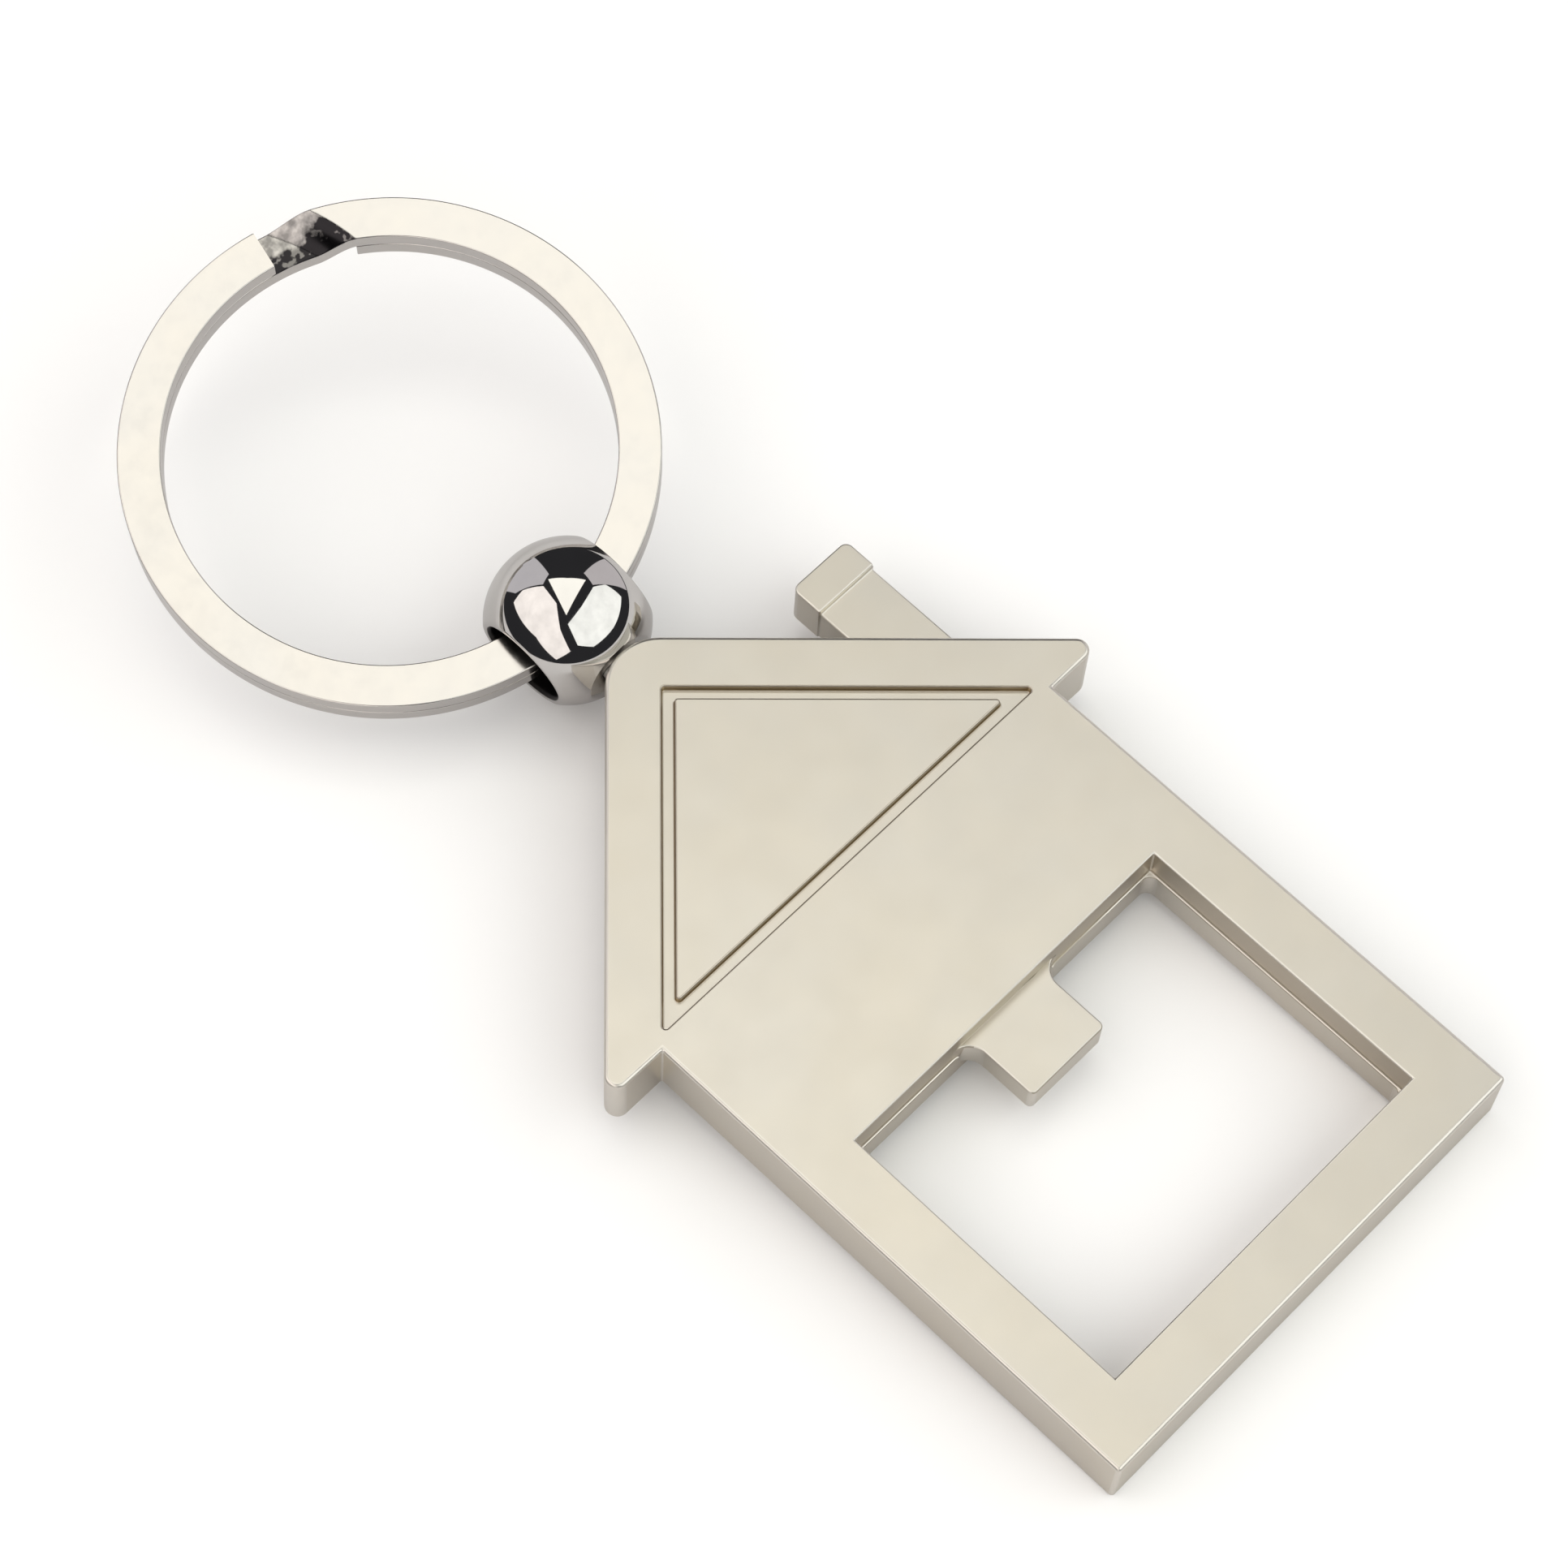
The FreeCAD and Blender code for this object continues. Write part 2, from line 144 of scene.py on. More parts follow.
class Nodes:
    """A material's node tree, with short calls for what the metals share."""

    def __init__(self, name):
        self.material = bpy.data.materials.new(name)
        self.material.use_nodes = True
        self.tree = self.material.node_tree
        self.shader = self.tree.nodes["Principled BSDF"]
        self.place = self.add("ShaderNodeTexCoord").outputs["Object"]

    def add(self, kind, **settings):
        node = self.tree.nodes.new(kind)
        for key, setting in settings.items():
            setattr(node, key, setting)
        return node

    def link(self, output, target):
        self.tree.links.new(output, target)

    def noise(self, per_mm, detail=3.0):
        """A noise of so many features to the millimetre."""
        noise = self.add("ShaderNodeTexNoise")
        noise.inputs["Scale"].default_value = per_mm / MM
        noise.inputs["Detail"].default_value = detail
        noise.inputs["Roughness"].default_value = NOISE_ROUGH
        self.link(self.place, noise.inputs["Vector"])
        return noise.outputs["Fac"]

    def spread(self, value, low, high, start=0.0, end=1.0):
        """The value's range from start to end, mapped to low to high."""
        ranged = self.add("ShaderNodeMapRange")
        for key, number in (("From Min", start), ("From Max", end), ("To Min", low), ("To Max", high)):
            ranged.inputs[key].default_value = number
        self.link(value, ranged.inputs["Value"])
        return ranged.outputs["Result"]

    def blend(self, value, first, second):
        """A colour between two, by the value."""
        mix = self.add("ShaderNodeMix", data_type="RGBA")
        mix.inputs["A"].default_value = (*first, 1)
        mix.inputs["B"].default_value = (*second, 1)
        self.link(value, mix.inputs["Factor"])
        return mix.outputs["Result"]

    def toned(self, share, colour, other):
        """The colour, or the other one where the share is 1."""
        mix = self.add("ShaderNodeMix", data_type="RGBA")
        mix.inputs["B"].default_value = (*other, 1)
        self.link(share, mix.inputs["Factor"])
        self.link(colour, mix.inputs["A"])
        return mix.outputs["Result"]

    def raised(self, share, amount, value):
        """The value, raised by the amount where the share is 1."""
        node = self.add("ShaderNodeMath", operation="MULTIPLY_ADD")
        node.inputs[1].default_value = amount
        self.link(share, node.inputs[0])
        self.link(value, node.inputs[2])
        return node.outputs["Value"]

    def bump(self, height, depth, before=None):
        """A bump of that depth in metres, on top of another bump if one is given."""
        bump = self.add("ShaderNodeBump")
        bump.inputs["Distance"].default_value = depth
        self.link(height, bump.inputs["Height"])
        if before:
            self.link(before, bump.inputs["Normal"])
        return bump.outputs["Normal"]


def satin_nickel():
    """Bead-blasted nickel plate: warm, with a fine even grain and faint cloudy patches."""
    nodes = Nodes("satin_nickel")
    clouds = nodes.noise(0.12, detail=4)
    tint = nodes.blend(nodes.spread(clouds, 0, 1, 0.35, 0.65),
                       (0.800, 0.752, 0.655), (0.795, 0.757, 0.678))
    painted_shade = nodes.add("ShaderNodeAttribute", attribute_name="painted_shade").outputs["Fac"]
    edge_highlight = nodes.add("ShaderNodeAttribute", attribute_name="edge_highlight").outputs["Fac"]
    # painted highlight: the narrow roundings get a brighter base colour, and a little less roughness
    highlighted = nodes.toned(nodes.spread(edge_highlight, 0.0, 0.28), tint, (0.97, 0.95, 0.91))
    # painted shade: a dark brown base colour on the engraved line's walls and the window's upper walls
    nodes.link(nodes.toned(painted_shade, highlighted, (0.36, 0.28, 0.17)), nodes.shader.inputs["Base Color"])
    nodes.shader.inputs["Metallic"].default_value = 1.0
    patches = nodes.spread(nodes.noise(0.35, detail=5), 0.34, 0.37, 0.3, 0.7)
    nodes.link(nodes.raised(edge_highlight, -0.02, patches), nodes.shader.inputs["Roughness"])
    grain = nodes.bump(nodes.noise(9.0, detail=2), 0.0012 * MM)
    nodes.link(grain, nodes.shader.inputs["Normal"])
    return nodes.material


def polished_chrome():
    """Bright chrome with hairline scratches and a very slight unevenness."""
    nodes = Nodes("ball_chrome")
    film = nodes.noise(0.4, detail=5)
    tint = nodes.blend(nodes.spread(film, 0, 1, 0.35, 0.65),
                       (0.74, 0.725, 0.70), (0.69, 0.675, 0.655))
    bore = nodes.add("ShaderNodeAttribute", attribute_name="bore").outputs["Fac"]
    # painted shade: the bore's inside gets a nearly black base colour, and more roughness
    nodes.link(nodes.toned(bore, tint, (0.035, 0.033, 0.032)), nodes.shader.inputs["Base Color"])
    nodes.shader.inputs["Metallic"].default_value = 1.0
    smears = nodes.spread(nodes.noise(0.6, detail=6), 0.025, 0.06, 0.4, 0.75)
    nodes.link(nodes.raised(bore, 0.4, smears), nodes.shader.inputs["Roughness"])
    wave = nodes.bump(nodes.noise(0.30, detail=1), 0.004 * MM)
    nodes.link(wave, nodes.shader.inputs["Normal"])
    return nodes.material


def ring_nickel():
    """Drawn and tumbled nickel wire: nearly polished, with fine lines along it."""
    nodes = Nodes("ring_nickel")
    film = nodes.noise(0.2, detail=4)
    tint = nodes.blend(nodes.spread(film, 0, 1, 0.35, 0.65),
                       (0.715, 0.685, 0.645), (0.70, 0.678, 0.65))
    bend_reflection = nodes.add("ShaderNodeAttribute", attribute_name="bend_reflection").outputs["Fac"]
    # painted dark reflection on the ramp, broken into spots: a nearly black base colour
    spotted = nodes.add("ShaderNodeMath", operation="MULTIPLY", use_clamp=True)
    nodes.link(bend_reflection, spotted.inputs[0])
    nodes.link(nodes.spread(nodes.noise(1.6, detail=2), 0.75, 2.2, 0.35, 0.65), spotted.inputs[1])
    darkened = nodes.toned(spotted.outputs["Value"], tint, (0.03, 0.028, 0.03))
    nodes.link(darkened, nodes.shader.inputs["Base Color"])
    nodes.shader.inputs["Metallic"].default_value = 1.0
    smears = nodes.spread(nodes.noise(0.8, detail=5), 0.12, 0.20, 0.3, 0.7)
    nodes.link(smears, nodes.shader.inputs["Roughness"])
    grain = nodes.bump(nodes.noise(7.0, detail=2), 0.0004 * MM)
    wave = nodes.bump(nodes.noise(0.3, detail=1), 0.004 * MM, grain)
    nodes.link(wave, nodes.shader.inputs["Normal"])
    return nodes.material


def pin_steel():
    """Plain turned steel, a little dull."""
    nodes = Nodes("pin_steel")
    tint = nodes.blend(nodes.noise(0.8, detail=4), (0.50, 0.49, 0.47), (0.62, 0.61, 0.60))
    nodes.link(tint, nodes.shader.inputs["Base Color"])
    nodes.shader.inputs["Metallic"].default_value = 1.0
    nodes.link(nodes.spread(nodes.noise(1.5), 0.28, 0.42), nodes.shader.inputs["Roughness"])
    nodes.link(nodes.bump(nodes.noise(12.0), 0.001 * MM), nodes.shader.inputs["Normal"])
    return nodes.material


# ---- casting and pin: the CAD's shapes with softened edges --------------------------------------

def softened(node):
    """The CAD node's mesh, welded and with every sharp edge rounded over."""
    piece = frame["nodes"][node]
    weld = piece.modifiers.new("weld", "WELD")
    weld.merge_threshold = 0.001 * MM
    soft = piece.modifiers.new("soft_edges", "BEVEL")
    soft.width = EDGE_SOFT
    soft.segments = 3
    soft.limit_method = "ANGLE"
    soft.angle_limit = SHARP
    soft.use_clamp_overlap = False
    soft.loop_slide = False
    graph = bpy.context.evaluated_depsgraph_get()
    mesh = bpy.data.meshes.new_from_object(piece.evaluated_get(graph), depsgraph=graph)
    piece.modifiers.clear()
    mesh.transform(piece.matrix_world)
    bm = bmesh.new()
    bm.from_mesh(mesh)
    bm.normal_update()
    refill_planes(bm)
    return mesh, bm


def refill_planes(bm):
    """Fills each wide flat face afresh, because a softened edge can fold a thin triangle over."""
    done = []
    for seed in sorted(bm.faces, key=lambda f: -f.calc_area()):
        if not seed.is_valid or seed.calc_area() < WIDE_FACE:
            continue
        normal, point = seed.normal.copy(), seed.verts[0].co.copy()
        if any(normal.dot(n) > SAME_PLANE and abs((point - p).dot(n)) < ON_PLANE for n, p in done):
            continue
        done.append((normal, point))
        faces = {f for f in bm.faces if abs(f.normal.dot(normal)) > SAME_PLANE
                 and all(abs((v.co - point).dot(normal)) < ON_PLANE for v in f.verts)}
        refill(bm, faces, normal)
    bm.verts.index_update()
    bm.faces.index_update()
    bm.normal_update()


def refill(bm, faces, normal):
    """Replaces flat faces with a constrained triangulation of their outline."""
    edges = [e for f in faces for e in f.edges if sum(g in faces for g in e.link_faces) == 1]
    verts = list({v for e in edges for v in e.verts})
    number = {v: i for i, v in enumerate(verts)}
    pairs = [(number[e.verts[0]], number[e.verts[1]]) for e in edges]
    right = normal.orthogonal().normalized()
    up = normal.cross(right)
    flat = [Vector((v.co.dot(right), v.co.dot(up))) / MM for v in verts]
    points, _, triangles, origins, _, _ = geometry.delaunay_2d_cdt(flat, pairs, [], 0, 1e-6)
    if len(points) != len(verts):
        return
    bmesh.ops.delete(bm, geom=list(faces), context="FACES_KEEP_BOUNDARY")
    for triangle in triangles:
        middle = sum((points[i] for i in triangle), Vector((0, 0))) / 3
        crossings = 0
        for i, j in pairs:
            p, q = flat[i], flat[j]
            if (p.y > middle.y) != (q.y > middle.y):
                crossings += p.x + (middle.y - p.y) * (q.x - p.x) / (q.y - p.y) > middle.x
        if crossings % 2:
            face = bm.faces.new([verts[origins[i][0]] for i in triangle])
            face.normal_update()
            if face.normal.dot(normal) < 0:
                face.normal_flip()


def flat_regions(bm):
    """Each face's flat region, as its total area: neighbours in one plane count as one.
    A long narrow strip is part of a rounding, so it counts as nothing."""
    region = {}
    for seed in bm.faces:
        if seed in region:
            continue
        members, waiting = [], [seed]
        region[seed] = 0.0
        while waiting:
            face = waiting.pop()
            members.append(face)
            for edge in face.edges:
                for other in edge.link_faces:
                    if other not in region and other.normal.dot(seed.normal) > SAME_PLANE:
                        region[other] = 0.0
                        waiting.append(other)
        area = sum(face.calc_area() for face in members)
        longest = max(edge.calc_length() for face in members for edge in face.edges)
        if area < NARROW * longest:
            area = 0.0
        for face in members:
            region[face] = area
    return region


def corner_normals(bm):
    """Flat regions stay flat, and the roundings between them run smoothly from one to the next."""
    region = flat_regions(bm)
    normals = []
    for face in bm.faces:
        for loop in face.loops:
            near = [f for f in loop.vert.link_faces if f.normal.dot(face.normal) > SMOOTH_WITHIN]
            widest = max(near, key=lambda f: region[f])
            if region[face] > FLAT_AREA:
                normal = face.normal.copy()
            elif region[widest] > FLAT_AREA:
                normal = widest.normal.copy()
            else:
                normal = sum((f.normal * corner_angle(f, loop.vert) for f in near), Vector())
            normals.append(normal.normalized())
    return normals


def corner_angle(face, vert):
    return next(loop.calc_angle() for loop in face.loops if loop.vert == vert)


def groove_share(bm):
    """How much painted shade each face gets: 1 on the engraved line's walls, less on its roundings and in
    the window.
    """
    top = max((f for f in bm.faces if f.normal.z > STEEP), key=lambda f: f.calc_area())
    plane, point = top.normal.copy(), top.verts[0].co.copy()

    def depth(vert):
        return (point - vert.co).dot(plane)

    region = flat_regions(bm)
    waiting = [f for f in bm.faces if f.normal.dot(plane) > SAME_PLANE and region[f] > FLAT_AREA
               and GROOVE_DEPTHS[0] < depth(f.verts[0]) < GROOVE_DEPTHS[1]]
    seen = set(waiting)
    while waiting:
        for edge in waiting.pop().edges:
            for other in edge.link_faces:
                if other not in seen and all(depth(v) > BELOW_EDGE for v in other.verts):
                    seen.add(other)
                    waiting.append(other)
    shoulders, waiting = set(), list(seen)
    while waiting:
        for edge in waiting.pop().edges:
            for other in edge.link_faces:
                if other not in seen and other not in shoulders and region[other] <= FLAT_AREA:
                    shoulders.add(other)
                    waiting.append(other)
    centre = Vector((0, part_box("house_plate")[0].y + WINDOW_CENTRE, point.z))
    shares = []
    for face in bm.faces:
        middle = face.calc_center_median()
        inward = (centre - middle).normalized().dot(face.normal)
        in_window = abs(middle.x) < WINDOW_REACH and abs(middle.y - centre.y) < WINDOW_REACH
        depths = [depth(v) for v in face.verts]
        steep = abs(face.normal.dot(plane)) < STEEP and min(depths) > BELOW_EDGE
        if face in seen and face.normal.dot(plane) < STEEP:
            shares.append(GROOVE_WALL_SHADE)
        elif face in shoulders or (face in seen and region[face] <= FLAT_AREA):
            shares.append(GROOVE_ROUND_SHADE)
        # painted shade on the window's upper walls that face its centre
        elif in_window and steep and inward > FACING_CENTRE and max(depths) < WINDOW_STEP:
            shares.append(WINDOW_SHADE)
        else:
            shares.append(0.0)
    return shares


def edge_highlight_share(bm):
    """1 on the narrow roundings, which get a painted highlight: a brighter base colour."""
    region = flat_regions(bm)
    return [0.0 if region[f] > FLAT_AREA else 1.0 for f in bm.faces]


def make_softened(name, node, material, body):
    """A softened copy of a CAD node, with its own normals and what its material reads, to stand for it."""
    mesh, bm = softened(node)
    normals = corner_normals(bm)
    # painted shade on the engraved line and the window's upper walls, as a face attribute
    painted_shade_share = groove_share(bm) if node == "house_plate" else [0.0] * len(bm.faces)
    # painted highlight on the narrow roundings, as a face attribute
    edge_highlight_faces = edge_highlight_share(bm)
    bm.to_mesh(mesh)
    bm.free()
    mesh.materials.clear()
    mesh.materials.append(material)
    mesh.polygons.foreach_set("use_smooth", [True] * len(mesh.polygons))
    mesh.normals_split_custom_set(normals)
    painted_shade = mesh.attributes.new("painted_shade", "FLOAT", "FACE")
    painted_shade.data.foreach_set("value", painted_shade_share)
    edge_highlight = mesh.attributes.new("edge_highlight", "FLOAT", "FACE")
    edge_highlight.data.foreach_set("value", edge_highlight_faces)
    piece = bpy.data.objects.new(name, mesh)
    bpy.context.scene.collection.objects.link(piece)
    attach(piece, body)
    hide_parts(node)
    return piece


# ---- ball -------------------------------------------------------------------------------------

def ball_profile():
    """The ball's section through its hole: along the hole, out from it, and the normal."""
    inside = math.acos((HOLE_RADIUS + LIP_ROUND) / (BALL_RADIUS - LIP_ROUND))
    centre = ((BALL_RADIUS - LIP_ROUND) * math.sin(inside), HOLE_RADIUS + LIP_ROUND)

    def turned(middle, radius, start, end, steps):
        angles = [start + (end - start) * i / steps for i in range(steps + 1)]
        return [(middle[0] + radius * math.cos(a), middle[1] + radius * math.sin(a),
                 math.cos(a), math.sin(a)) for a in angles]

    sphere = turned((0, 0), BALL_RADIUS, math.pi / 2 - inside, math.pi / 2 + inside, 110)
    right = turned(centre, LIP_ROUND, -math.pi / 2, math.pi / 2 - inside, 10)
    left = [(-x, r, -nx, nr) for x, r, nx, nr in reversed(right)]
    bore = [(-centre[0] * (1 - 2 * i / 24), HOLE_RADIUS, 0.0, -1.0) for i in range(1, 24)]
    return right[:-1] + sphere + left[1:] + bore


def make_ball(material):
    """A turned ball with a round cross-hole and a flat towards the gable. The pin's hole is left out."""
    swivel, swing = joint("ball_swivel"), joint("ring_swing")
    centre, hole = Vector(swing["pos_m"]), Vector(swing["axis"]).normalized()
    out = Vector(swivel["axis"]).normalized()
    up = hole.cross(out).normalized()
    place = Matrix.Translation(centre) @ Matrix((hole, out, up)).transposed().to_4x4()
    steps = 240
    profile = ball_profile()
    points, corner, faces, normals, dark = [], [], [], [], []
    for x, r, nx, nr in profile:
        for i in range(steps):
            angle = 2 * math.pi * i / steps
            c, q = math.cos(angle), math.sin(angle)
            points.append((x, r * c, r * q))
            corner.append((nx, nr * c, nr * q))
            # marks the bore's inside for painted shade
            dark.append(1.0 if nr < -0.5 and r < HOLE_RADIUS + 0.4 * LIP_ROUND else 0.0)
    # the side towards the gable is cut flat: its vertices move along the pin's axis onto the cut
    rim = math.sqrt(BALL_RADIUS ** 2 - FLAT_AT ** 2)
    cut = set()
    for number, (x, y, z) in enumerate(points):
        outside = math.hypot(x, z)
        if y < 0 and math.hypot(x, math.hypot(y, z)) > BALL_RADIUS - 1e-7 and outside < rim:
            cut.add(number)
            points[number] = (x, -FLAT_AT, z)
    count = len(profile)
    for a in range(count):
        b = (a + 1) % count
        for i in range(steps):
            j = (i + 1) % steps
            face = (a * steps + i, b * steps + i, b * steps + j, a * steps + j)
            faces.append(face)
            flat = all(v in cut for v in face)
            normals += [(0, -1, 0) if flat else corner[v] for v in face]
    piece = mesh_piece("ball", points, faces, normals, place, material,
                       "ball", "connector_ball")
    bore = piece.data.attributes.new("bore", "FLOAT", "POINT")
    bore.data.foreach_set("value", dark)
    return piece


# ---- split ring -------------------------------------------------------------------------------

def wire_section(shrink):
    """The wire's section about its middle: outwards, upwards, and the turn of the normal."""
    wide = (RING_OUTER - RING_INNER) / 2 - shrink
    high = WIRE_THICK / 2 - shrink
    r = WIRE_ROUND - shrink
    points = []
    for number, (x, y) in enumerate(((1, 1), (-1, 1), (-1, -1), (1, -1))):
        for step in range(5):
            a = (number + step / 4) * math.pi / 2
            points.append((x * (wide - r) + r * math.cos(a), y * (high - r) + r * math.sin(a), a))
        if y == x == 1 or y == x == -1:
            points += [(y * (wide - r) * (1 - 2 * k / ACROSS_STEPS), y * high, a)
                       for k in range(1, ACROSS_STEPS)]
    return points


def smooth_step(value):
    value = min(max(value, 0.0), 1.0)
    return value * value * (3 - 2 * value)


def ramp_share(angle):
    """How far down the ramp an inner-edge angle is, from 0 on the upper turn to 1 on the lower."""
    return smooth_step((angle - RAMP_TOP) / (RAMP_FOOT - RAMP_TOP))


def skew_share(angle):
    """The ramp's creases run aslant: this fades the slant in before the ramp and out after it."""
    before = smooth_step((angle - RAMP_TOP + SKEW_FADE) / SKEW_FADE)
    after = smooth_step((angle - RAMP_FOOT) / SKEW_FADE)
    return before - after


def bend_reflection_share(angle, across, facing):
    """How dark the bend is: a painted dark reflection on the ramp and the step behind it, fainter towards
    the outer edge.
    """
    if facing < 0.5:
        return 0.0
    dark = smooth_step((angle - RAMP_TOP) / BEND_FADE) - smooth_step((angle - BEND_END) / BEND_FADE)
    past = smooth_step((angle - RAMP_TOP) / (RAMP_FOOT - RAMP_TOP))
    limit = DARK_LIMITS[0] + (DARK_LIMITS[1] - DARK_LIMITS[0]) * past
    return dark * (1 - (1 - OUTER_DARK_SHARE) * smooth_step((across - limit) / DARK_FADE))


def ring_stations():
    """Angles along the wire: coarse on the turns, fine on the ramp, and rounded off at both ends."""
    def run(a, b, step):
        count = math.ceil((b - a) / step)
        return [a + (b - a) * i / count for i in range(count)]

    coarse, fine = math.radians(1.25), math.radians(0.25)
    lead = END_ROUND / RING_INNER
    first, last = COIL_START, 2 * math.pi + COIL_END
    ends = [(first, END_ROUND), (first + 0.3 * lead, 0.3 * END_ROUND)]
    middle = (run(first + lead, RAMP_TOP - fine, coarse)
              + run(RAMP_TOP - fine, RAMP_FOOT + fine, fine)
              + run(RAMP_FOOT + fine, last - lead, coarse) + [last - lead])
    return ends + [(a, 0.0) for a in middle] + [(last - 0.3 * lead, 0.3 * END_ROUND), (last, END_ROUND)]


def make_ring(material):
    """Two turns of flat wire, swept from the upper turn's free end to the lower turn's."""
    swing = joint("ring_swing")
    ball = Vector(swing["pos_m"])
    low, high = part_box("split_ring")
    side = Vector(swing["axis"]).normalized()
    out = (low + high) / 2 - ball
    out = (out - side * out.dot(side)).normalized()
    middle = (RING_OUTER + RING_INNER) / 2
    half = (RING_OUTER - RING_INNER) / 2
    level = (WIRE_THICK + WIRE_GAP) / 2
    place = (Matrix.Translation(ball + out * middle)
             @ Matrix((side, out, side.cross(out))).transposed().to_4x4())

    def spot(angle, x, z):
        turned = angle + RAMP_SKEW * skew_share(angle) * (x / half + 1) / 2
        radius = middle + x
        return Vector((radius * math.cos(turned), radius * math.sin(turned),
                       z + level * (1 - 2 * ramp_share(angle)))), turned

    points, corner, dark = [], [], []
    stations = ring_stations()
    nudge = math.radians(0.02)
    for angle, shrink in stations:
        for x, z, a in wire_section(shrink):
            place_here, turned = spot(angle, x, z)
            along = spot(angle + nudge, x, z)[0] - spot(angle - nudge, x, z)[0]
            radial = Vector((math.cos(turned), math.sin(turned), 0))
            around = Vector((-math.sin(turned), math.cos(turned), 0))
            slant = (middle + x) * RAMP_SKEW * skew_share(angle) / (2 * half)
            across = -math.sin(a) * (radial + slant * around) + Vector((0, 0, math.cos(a)))
            points.append(place_here)
            # painted dark reflection on the ramp, per vertex
            dark.append(bend_reflection_share(angle, x / half, math.sin(a)))
            corner.append(along.cross(across).normalized())
    size = len(wire_section(0.0))
    faces, normals = [], []
    for a in range(len(stations) - 1):
        for i in range(size):
            j = (i + 1) % size
            face = (a * size + j, a * size + i, (a + 1) * size + i, (a + 1) * size + j)
            faces.append(face)
            normals += [corner[v] for v in face]
    first_end = tuple(range(size))
    last_end = tuple(reversed(range(len(points) - size, len(points))))
    for face, ahead in ((first_end, -1), (last_end, 1)):
        faces.append(face)
        turned = math.atan2(points[face[0]].y, points[face[0]].x)
        normals += [Vector((-math.sin(turned), math.cos(turned), 0)) * ahead] * size
    piece = mesh_piece("key_ring", points, faces, normals, place, material,
                       "ring", "split_ring")
    bend_reflection = piece.data.attributes.new("bend_reflection", "FLOAT", "POINT")
    bend_reflection.data.foreach_set("value", dark)
    return piece


# ---- studio -----------------------------------------------------------------------------------

VIEW_AZIMUTH = -45.84
VIEW_ELEVATION = 62.56
VIEW_DISTANCE = 247.5 * MM
VIEW_LENS = 105.4
AIM = Vector((1.25, -2.40, -1.28)) * MM
MOTTLE_PER_METRE = 4.0
FLOOR_LIGHT_ANGLE = math.radians(130)
FLOOR_LIGHT_ENERGY = 2.3
FLOOR_HEIGHT = -0.02 * MM
MIRRORED_HEIGHT = -0.01 * MM


def direction(azimuth, elevation):
    """Azimuth is measured round from the camera, to the right as the camera sees it."""
    a, e = math.radians(azimuth + VIEW_AZIMUTH), math.radians(elevation)
    return Vector((math.sin(a) * math.cos(e), -math.cos(a) * math.cos(e), math.sin(e)))


def make_camera():
    low, high = CAD_BOX
    target = (low + high) / 2 + AIM
    back = direction(0, VIEW_ELEVATION)
    data = bpy.data.cameras.new("camera")
    data.lens = VIEW_LENS
    data.sensor_width = 36.0
    data.clip_start, data.clip_end = 0.01, 20.0
    camera = bpy.data.objects.new("camera", data)
    camera.rotation_mode = "QUATERNION"
    camera.location = target + back * VIEW_DISTANCE
    camera.rotation_quaternion = (-back).to_track_quat("-Z", "Y")
    bpy.context.scene.collection.objects.link(camera)
    bpy.context.scene.camera = camera


def on_shell(bm, centre, distance):
    """Pushes every vertex out to the same distance from the centre."""
    for vert in bm.verts:
        vert.co = centre + (vert.co - centre).normalized() * distance


def make_card(name, corners, distance, colour, strength, mottle=0.0):
    """A panel of the light tent, drawn by its corners' azimuths and elevations."""
    nodes = Nodes(name)
    tree = nodes.tree
    glow = nodes.add("ShaderNodeEmission")
    glow.inputs["Color"].default_value = (*colour, 1)
    glow.inputs["Strength"].default_value = strength
    if mottle:
        cloth = nodes.noise(MOTTLE_PER_METRE * MM, detail=4)
        nodes.link(nodes.spread(cloth, strength * (1 - mottle), strength * (1 + mottle), 0.3, 0.7),
                   glow.inputs["Strength"])
    nodes.link(glow.outputs[0], tree.nodes["Material Output"].inputs["Surface"])
    material = nodes.material
    middle = (CAD_BOX[0] + CAD_BOX[1]) / 2
    bm = bmesh.new()
    if corners:
        verts = [bm.verts.new(middle + direction(a, e) * distance) for a, e in corners]
        hub = bm.verts.new(sum((v.co for v in verts), Vector()) / len(verts))
        for one, two in zip(verts, verts[1:] + verts[:1]):
            bm.faces.new((one, two, hub))
        bmesh.ops.subdivide_edges(bm, edges=bm.edges, cuts=7, use_grid_fill=True)
    else:
        bmesh.ops.create_icosphere(bm, subdivisions=4, radius=distance)
        bmesh.ops.translate(bm, vec=middle, verts=bm.verts)
    on_shell(bm, middle, distance)
    mesh = bpy.data.meshes.new(name)
    bm.to_mesh(mesh)
    bm.free()
    mesh.materials.append(material)
    card = bpy.data.objects.new(name, mesh)
    card.visible_camera = False
    card.visible_shadow = False
    bpy.context.scene.collection.objects.link(card)


SOFTBOX_LEFT = [(-126, 54), (-66, 76), (-12, 48), (5, 18), (-13, 5), (-46, 25), (-102, 17), (-114, 28)]
SOFTBOX_RIGHT = [(124, 50), (65, 68), (4, 56), (16, 25), (36, 15), (73, 15), (111, 13), (124, 32)]
SIDE_PANEL_LEFT = [(-153, 1), (-150, 46), (-129, 52), (-112, 18), (-118, 1)]
SIDE_PANEL_RIGHT = [(154, 1), (154, 45), (128, 49), (123, 23), (121, 1)]
TOP_PANEL = [(-143, 52), (180, 60), (143, 52), (0, 68)]


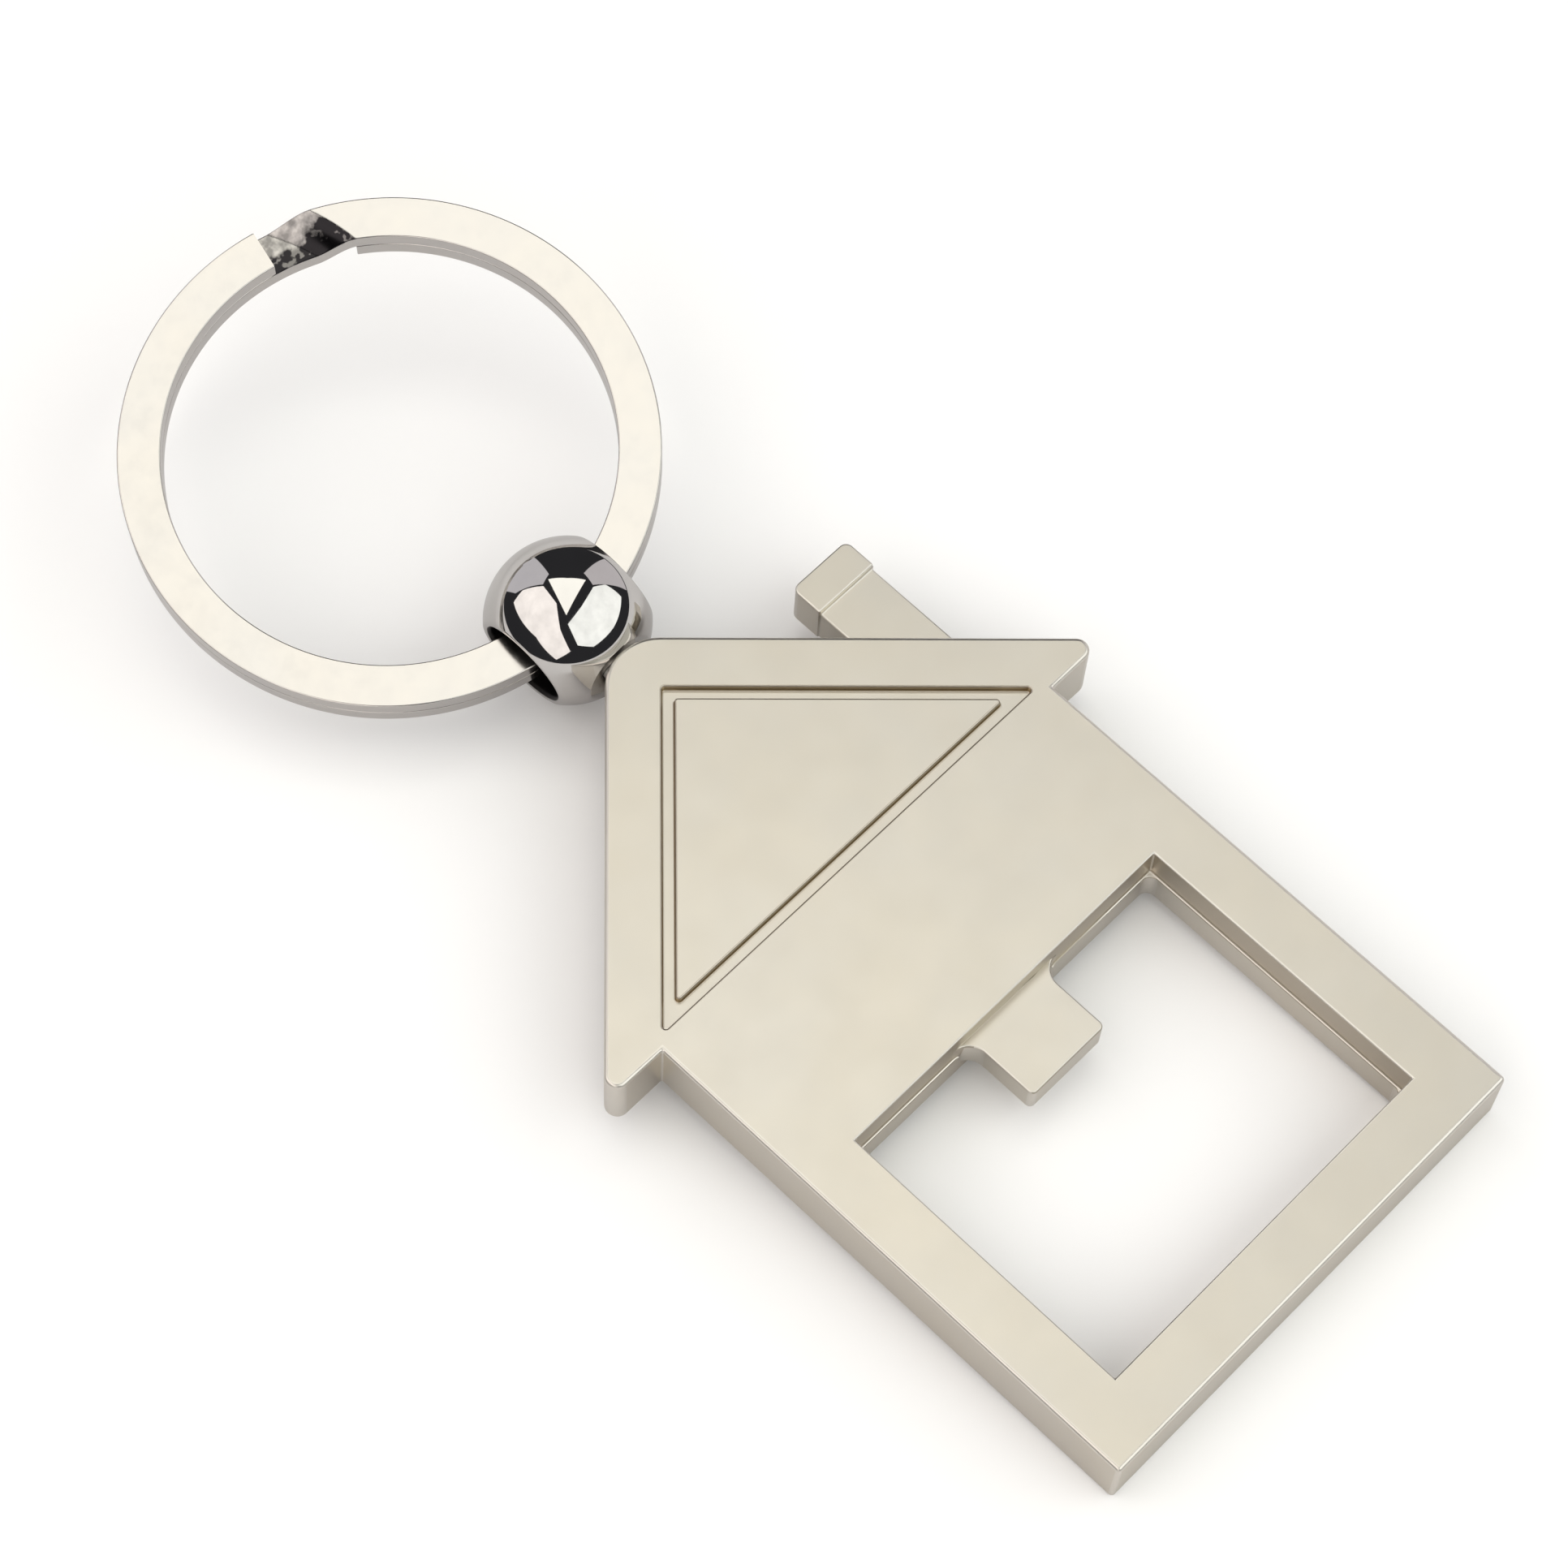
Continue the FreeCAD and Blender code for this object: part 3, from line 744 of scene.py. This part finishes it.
def make_studio():
    make_card("softbox_left", SOFTBOX_LEFT, 0.90, (1.0, 0.945, 0.915), 1.27, 0.10)
    make_card("softbox_right", SOFTBOX_RIGHT, 0.90, (0.975, 0.99, 0.965), 1.28, 0.10)
    make_card("top_panel", TOP_PANEL, 0.88, (1.0, 0.985, 0.925), 1.38)
    make_card("side_panel_left", SIDE_PANEL_LEFT, 0.92, (0.98, 0.95, 1.0), 0.62)
    make_card("side_panel_right", SIDE_PANEL_RIGHT, 0.92, (1.0, 0.95, 0.98), 0.62)
    make_card("dark_tent", None, 1.1, (0.9, 0.9, 1.0), 0.03)
    world = bpy.data.worlds.new("studio")
    world.use_nodes = True
    world.node_tree.nodes["Background"].inputs["Color"].default_value = (0.95, 0.94, 0.92, 1)
    world.node_tree.nodes["Background"].inputs["Strength"].default_value = 0.95
    bpy.context.scene.world = world


def light_floor(*floors):
    """A wide soft light that falls on the floor alone, so the metal keeps its own reflections."""
    data = bpy.data.lights.new("floor_light", "SUN")
    data.angle = FLOOR_LIGHT_ANGLE
    data.energy = FLOOR_LIGHT_ENERGY
    light = bpy.data.objects.new("floor_light", data)
    bpy.context.scene.collection.objects.link(light)
    only_floor = bpy.data.collections.new("floor_only")
    for floor in floors:
        only_floor.objects.link(floor)
    light.light_linking.receiver_collection = only_floor


def make_disc(name, height, colour):
    material = bpy.data.materials.new(name)
    material.use_nodes = True
    shader = material.node_tree.nodes["Principled BSDF"]
    shader.inputs["Base Color"].default_value = (*colour, 1)
    shader.inputs["Roughness"].default_value = 0.9
    shader.inputs["Specular IOR Level"].default_value = 0.1
    bm = bmesh.new()
    bmesh.ops.create_circle(bm, cap_ends=True, segments=96, radius=3.0)
    mesh = bpy.data.meshes.new(name)
    bm.to_mesh(mesh)
    bm.free()
    mesh.materials.append(material)
    disc = bpy.data.objects.new(name, mesh)
    disc.location.z = CAD_BOX[0].z + height
    bpy.context.scene.collection.objects.link(disc)
    return disc


def make_floor():
    """A pale floor, and a greyer one over it that only the metal's reflections see."""
    floor = make_disc("floor", FLOOR_HEIGHT, (0.93, 0.93, 0.925))
    mirrored = make_disc("mirrored_floor", MIRRORED_HEIGHT, (0.607, 0.597, 0.598))
    mirrored.visible_camera = False
    mirrored.visible_diffuse = False
    mirrored.visible_shadow = False
    light_floor(floor, mirrored)


make_camera()
make_studio()
make_floor()
make_softened("house", "house_plate", satin_nickel(), "house")
make_softened("swivel_pin_turned", "swivel_pin", pin_steel(), "house")
make_ball(polished_chrome())
make_ring(ring_nickel())

bpy.context.scene.view_settings.view_transform = "Standard"
